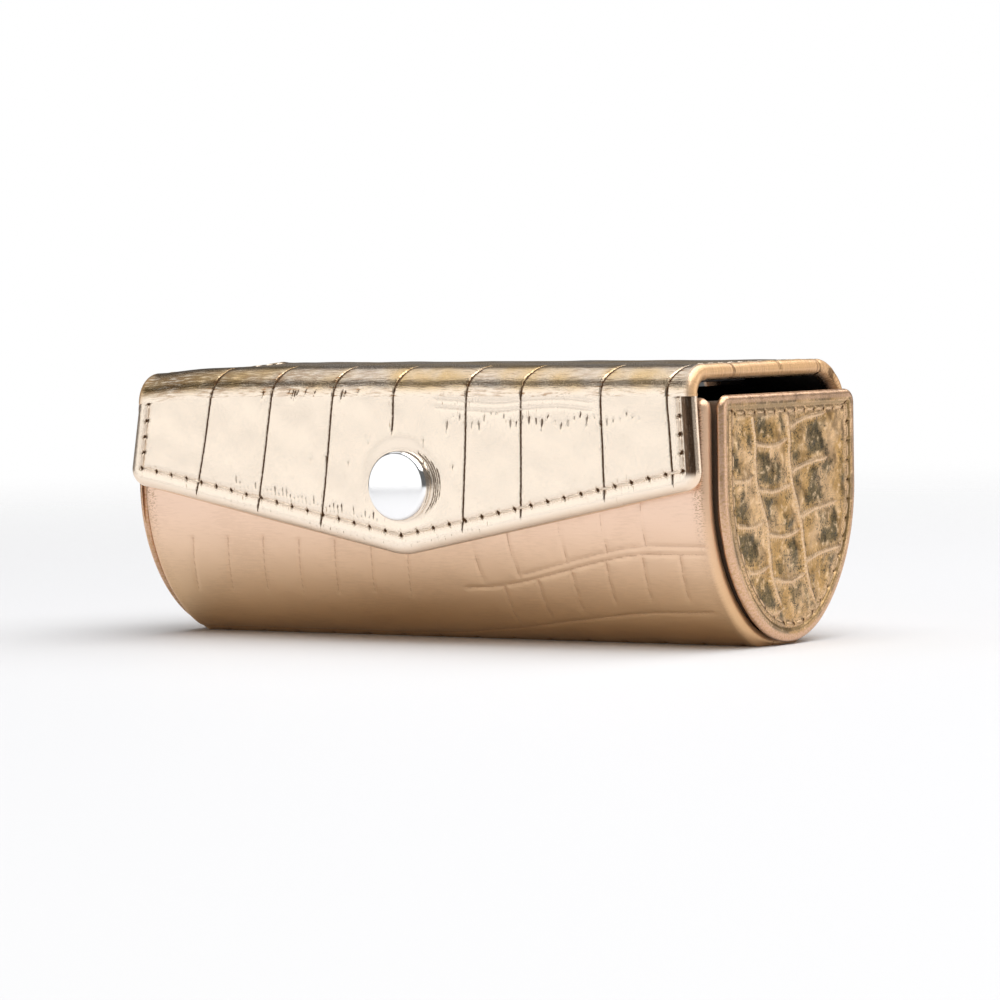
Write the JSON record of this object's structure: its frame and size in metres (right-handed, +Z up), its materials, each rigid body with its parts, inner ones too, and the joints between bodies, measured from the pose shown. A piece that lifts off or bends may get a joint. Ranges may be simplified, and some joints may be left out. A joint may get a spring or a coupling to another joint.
{
  "type": "lipstick case",
  "caption": "Stiff leather-covered case with a round-bottomed U shell, D-shaped end panels, a leather-hinged lid with a mirror and a pointed snap flap.",
  "frame": {"origin": "centre of the whole case's bounding box, on the surface that it rests on", "axes": "+X along the case, +Y towards the hinge at the back, +Z up; the snap flap faces -Y"},
  "size_m": [0.0954, 0.0406, 0.0375],
  "materials": {
    "leather": "crocodile-embossed leather with a metallic rose-gold foil",
    "board": "pressed grey-brown fibreboard",
    "stiffener": "moulded grey plastic stiffener",
    "lining": "black microfibre suede",
    "thread": "tone-on-tone polyester thread",
    "snap_metal": "polished nickel plating",
    "foam_tape": "double-sided foam tape",
    "mirror_backing": "silvered coat with grey back paint",
    "mirror_glass": "flat polished glass"
  },
  "bodies": {
    "case": {"shell_board": "stiffener", "shell_leather": "leather", "shell_lining": "lining", "left_end_core": "stiffener", "left_end_board": "stiffener", "left_end_leather": "leather", "left_end_lining": "lining", "left_end_stitching": "thread", "right_end_core": "stiffener", "right_end_board": "stiffener", "right_end_leather": "leather", "right_end_lining": "lining", "right_end_stitching": "thread", "hinge_leather": "leather", "hinge_lining": "lining", "snap_stud": "snap_metal", "snap_washer": "snap_metal"},
    "lid": {"lid_board": "board", "lid_leather": "leather", "lid_lining": "lining", "lid_stitching": "thread", "mirror_pad": "foam_tape", "mirror_backing": "mirror_backing", "mirror_glass": "mirror_glass", "crease_leather": "leather", "crease_lining": "lining"},
    "flap": {"flap_board": "board", "flap_leather": "leather", "flap_lining": "lining", "flap_stitching": "thread", "snap_cap": "snap_metal", "snap_socket": "snap_metal", "snap_spring": "snap_metal"}
  },
  "joints": [
    {"name": "lid_hinge", "type": "hinge", "parent": "case", "child": "lid", "pos_m": [0, 0.01857, 0.03554], "axis": [-1, 0, 0], "range_deg": [0, 120], "deforming": ["hinge_leather", "hinge_lining"]},
    {"name": "flap_fold", "type": "hinge", "parent": "lid", "child": "flap", "pos_m": [0, -0.01747, 0.03585], "axis": [-1, 0, 0], "range_deg": [0, 80], "deforming": ["crease_leather", "crease_lining"]}
  ]
}
